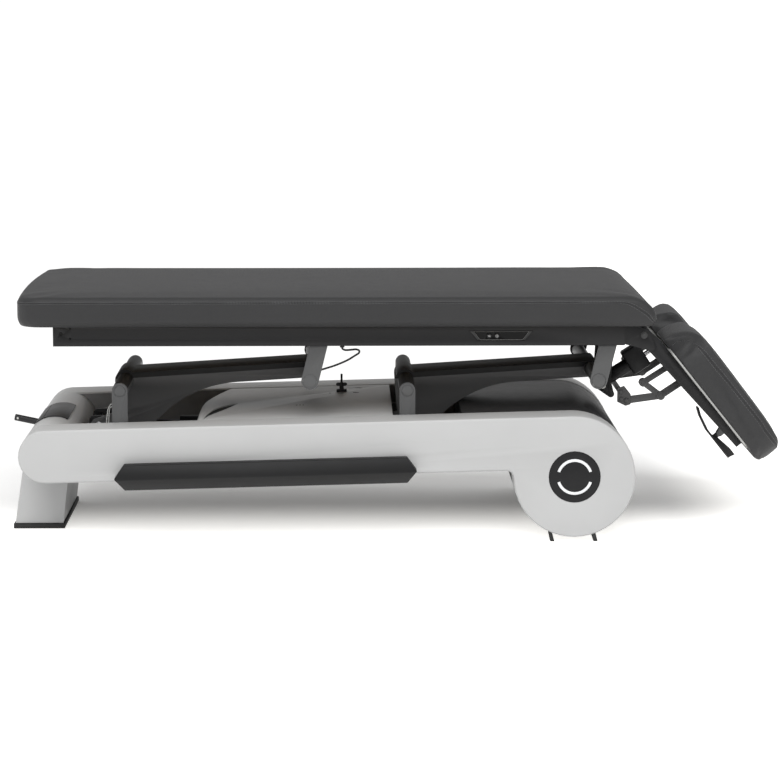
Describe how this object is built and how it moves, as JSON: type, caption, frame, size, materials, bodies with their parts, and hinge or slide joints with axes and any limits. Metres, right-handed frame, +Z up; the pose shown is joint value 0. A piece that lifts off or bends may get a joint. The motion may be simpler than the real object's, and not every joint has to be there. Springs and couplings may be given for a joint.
{
  "type": "massage table",
  "caption": "Height-adjustable massage table: parallel arms lift a padded top from a two-beam base, and a head section with a face notch tilts.",
  "frame": {"origin": "centre of the table's bounding box in plan, at floor level", "axes": "+X towards the head end, +Y away from the side with the control panel, +Z up"},
  "size_m": [1.7138, 0.7706, 0.54],
  "materials": {
    "light_shell": "light grey satin paint",
    "dark_cover": "dark grey fine texture",
    "dark_steel": "dark grey satin paint",
    "light_guide": "translucent white",
    "rubber": "matt black",
    "black_plastic": "satin black",
    "grey_steel": "mid grey satin paint",
    "black_steel": "black satin paint",
    "bright_steel": "ground steel",
    "gloss_panel": "gloss black",
    "upholstery": "dark grey upholstery",
    "plywood": "raw plywood",
    "pale_sheet": "pale sheet with a satin edge"
  },
  "bodies": {
    "base": {"near_side_shell": "light_shell", "far_side_shell": "light_shell", "near_hub_cover": "dark_cover", "far_hub_cover": "dark_cover", "near_light_ring": "light_guide", "far_light_ring": "light_guide", "near_foot_left": "rubber", "near_foot_right": "rubber", "far_foot_left": "rubber", "far_foot_right": "rubber", "base_chassis": "dark_steel", "foot_cross_hull": "light_shell", "hatch_upper": "dark_cover", "hatch_lower": "dark_cover", "leg": "light_shell", "leg_pad": "rubber", "inlet_box": "black_plastic", "base_deck": "light_shell", "deck_clamp": "black_steel", "rear_cover": "dark_cover", "rear_undertray": "dark_cover", "foot_post_frame": "grey_steel", "head_post_frame": "grey_steel", "foot_pivot_shaft": "bright_steel", "head_pivot_shaft": "bright_steel", "lift_drive": "black_steel", "control_box": "black_plastic"},
    "near_bar": {"near_foot_bar": "black_plastic"},
    "far_bar": {"far_foot_bar": "black_plastic"},
    "pedal_rod": {"pedal": "black_plastic"},
    "yoke": {"lift_yoke": "black_steel"},
    "foot_side_arm": {"foot_arm": "black_steel", "foot_arm_roller": "bright_steel", "foot_upper_shaft": "black_steel"},
    "head_side_arm": {"head_arm": "black_steel", "head_upper_shaft": "black_steel"},
    "top": {"top_frame": "black_steel", "near_foot_bracket": "grey_steel", "far_foot_bracket": "grey_steel", "near_head_bracket": "grey_steel", "far_head_bracket": "grey_steel", "near_hinge_pin": "bright_steel", "far_hinge_pin": "bright_steel", "control_panel": "gloss_panel", "mattress_board": "plywood", "mattress": "upholstery", "tilt_hanger": "black_steel", "panel_cable": "rubber", "cable_gland": "black_plastic"},
    "lower_key": {"lower_button": "black_plastic"},
    "raise_key": {"raise_button": "black_plastic"},
    "head_section": {"head_frame": "black_steel", "head_board": "pale_sheet", "head_pad": "upholstery", "tilt_lever_frame": "grey_steel", "handle_mount": "grey_steel"},
    "handle": {"release_handle": "black_plastic"},
    "actuator": {"tilt_actuator": "black_steel"},
    "actuator_rod": {"tilt_rod": "bright_steel"}
  },
  "joints": [
    {"name": "lift", "type": "hinge", "parent": "base", "child": "foot_side_arm", "pos_m": [-0.6038, 0, 0.321], "axis": [0, -1, 0], "range_deg": [0, 62]},
    {"name": "lift_head_arm", "type": "hinge", "parent": "base", "child": "head_side_arm", "pos_m": [0.0312, 0, 0.321], "axis": [0, -1, 0], "range_deg": [0, 62]},
    {"name": "level", "type": "hinge", "parent": "foot_side_arm", "child": "top", "pos_m": [-0.1838, 0, 0.34698], "axis": [0, -1, 0], "range_deg": [-62, 0]},
    {"name": "yoke_drive", "type": "slide", "parent": "base", "child": "yoke", "axis": [1, 0, 0], "range_m": [0, 0.1237]},
    {"name": "head_tilt", "type": "hinge", "parent": "top", "child": "head_section", "pos_m": [0.5512, 0, 0.446], "axis": [0, -1, 0], "range_deg": [0, 60]},
    {"name": "tilt_swing", "type": "hinge", "parent": "top", "child": "actuator", "pos_m": [0.4802, 0, 0.305], "axis": [0, -1, 0], "range_deg": [0, 13.6]},
    {"name": "tilt_extend", "type": "slide", "parent": "actuator", "child": "actuator_rod", "axis": [0.843, 0, 0.5379], "range_m": [0, 0.0719]},
    {"name": "handle_squeeze", "type": "hinge", "parent": "head_section", "child": "handle", "pos_m": [0.73565, -0.15, 0.20937], "axis": [0, -1, 0], "range_deg": [0, 10], "stiffness_Nm_per_rad": 2, "springref_deg": -11.46},
    {"name": "near_bar_press", "type": "slide", "parent": "base", "child": "near_bar", "axis": [0.025, 0, -0.9997], "range_m": [0, 0.005], "stiffness_N_per_m": 4000, "springref_m": -0.005},
    {"name": "far_bar_press", "type": "slide", "parent": "base", "child": "far_bar", "axis": [0.025, 0, -0.9997], "range_m": [0, 0.005], "stiffness_N_per_m": 4000, "springref_m": -0.005},
    {"name": "pedal_press", "type": "hinge", "parent": "base", "child": "pedal_rod", "pos_m": [-0.7733, -0.07, 0.22017], "axis": [0, -1, 0], "range_deg": [0, 12], "stiffness_Nm_per_rad": 3, "springref_deg": -11.46},
    {"name": "lower_press", "type": "slide", "parent": "top", "child": "lower_key", "axis": [0, 1, 0], "range_m": [0, 0.0012], "stiffness_N_per_m": 400, "springref_m": -0.001},
    {"name": "raise_press", "type": "slide", "parent": "top", "child": "raise_key", "axis": [0, 1, 0], "range_m": [0, 0.0012], "stiffness_N_per_m": 400, "springref_m": -0.001}
  ],
  "couplings": [
    {"joint": "lift_head_arm", "follows": "lift", "ratio": 1},
    {"joint": "level", "follows": "lift", "ratio": -1},
    {"joint": "yoke_drive", "follows": "lift", "m_per_rad": 0.11423},
    {"joint": "tilt_swing", "follows": "head_tilt", "ratio": 0.225},
    {"joint": "tilt_extend", "follows": "head_tilt", "m_per_rad": 0.0685}
  ]
}
